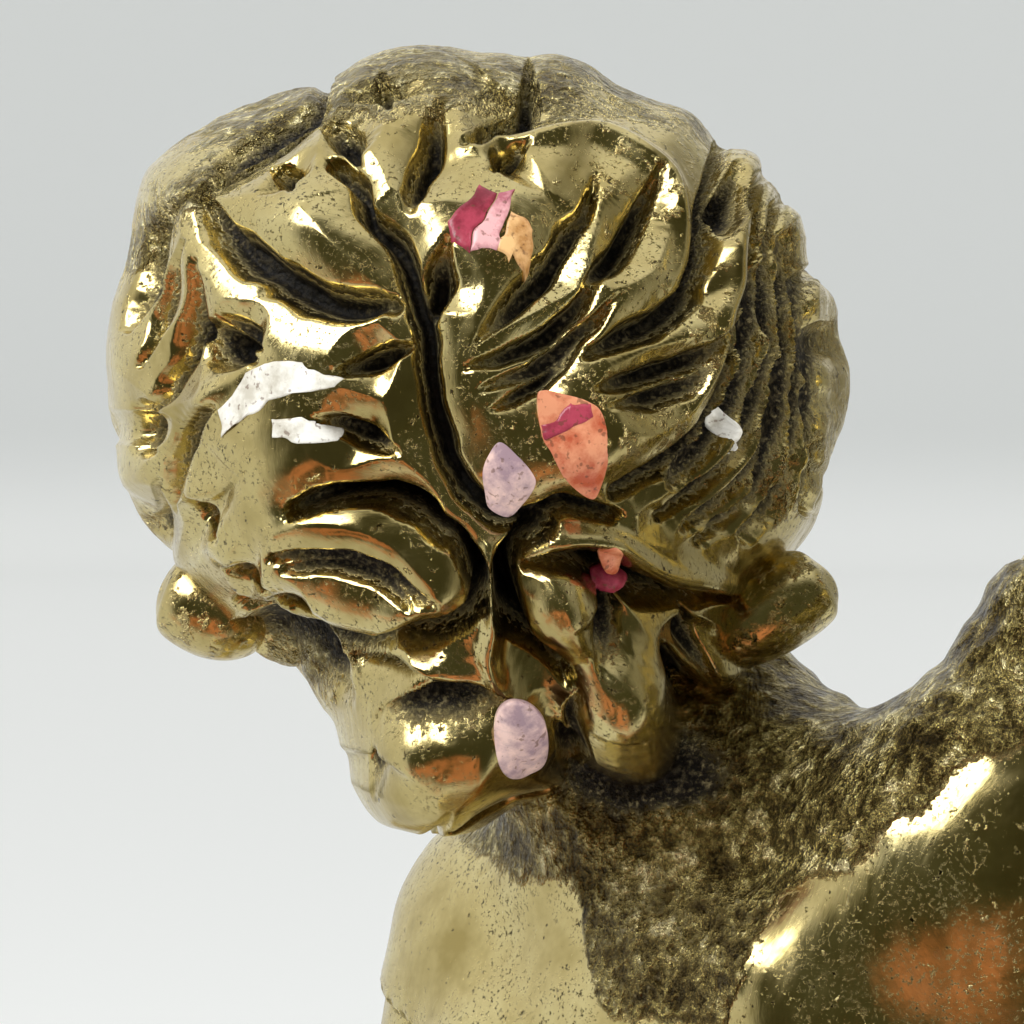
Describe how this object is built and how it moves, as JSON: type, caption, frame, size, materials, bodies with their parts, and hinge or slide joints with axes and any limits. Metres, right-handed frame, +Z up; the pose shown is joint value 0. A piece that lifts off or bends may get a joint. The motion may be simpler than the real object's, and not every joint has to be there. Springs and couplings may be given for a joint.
{
  "type": "hood ornament",
  "caption": "Cast brass car hood ornament: a running child figure with one arm raised, on a domed base with a stud, pins, rubber pad and clamping nut below.",
  "frame": {"origin": "on the mounting stud's axis, in the plane of the rubber pad's underside, where the hood's skin is", "axes": "+Z up out of the hood, +Y the way the car travels and the figure's face looks, +X to the figure's right"},
  "size_m": [0.0463, 0.0474, 0.1543],
  "materials": {
    "figure_brass": "cast brass, polished on the raised areas, dark in the recesses",
    "arm_brass": "cast brass, polished",
    "leg_brass": "cast brass, polished",
    "dowel_brass": "drawn brass rod",
    "dome_brass": "cast and turned brass, polished",
    "flange_brass": "cast and turned brass, polished",
    "plated_steel": "zinc-plated steel",
    "stud_steel": "zinc-plated steel with a rolled thread",
    "pin_steel": "bright drawn steel",
    "pad_rubber": "black sheet rubber",
    "fibre": "dark red vulcanised fibre",
    "plate_steel": "zinc-plated pressed steel",
    "spring_steel": "blackened spring steel",
    "nut_steel": "zinc-plated steel"
  },
  "bodies": {
    "ornament": {"body_casting": "figure_brass", "right_arm_casting": "arm_brass", "left_arm_casting": "arm_brass", "raised_leg_casting": "leg_brass", "right_arm_dowel": "dowel_brass", "left_arm_dowel": "dowel_brass", "raised_leg_dowel": "dowel_brass", "dome_casting": "dome_brass", "flange_casting": "flange_brass", "foot_screw": "plated_steel", "foot_dowel": "dowel_brass", "dome_screws": "plated_steel", "mounting_stud": "stud_steel", "hood_pins": "pin_steel", "rubber_pad": "pad_rubber"},
    "clamp_stack": {"fibre_washer": "fibre", "backing_plate": "plate_steel", "plain_washer": "plated_steel", "lock_washer": "spring_steel"},
    "nut": {"hex_nut": "nut_steel"}
  },
  "joints": [
    {"name": "clamp_slide", "type": "slide", "parent": "ornament", "child": "clamp_stack", "axis": [0, 0, 1], "range_m": [-0.009, 0.003]},
    {"name": "nut_turn", "type": "hinge", "parent": "clamp_stack", "child": "nut", "pos_m": [0, 0, -0.013], "axis": [0, 0, 1], "range_deg": [-2592, 864]}
  ],
  "couplings": [
    {"joint": "clamp_slide", "follows": "nut_turn", "m_per_rad": 0.00019894}
  ]
}
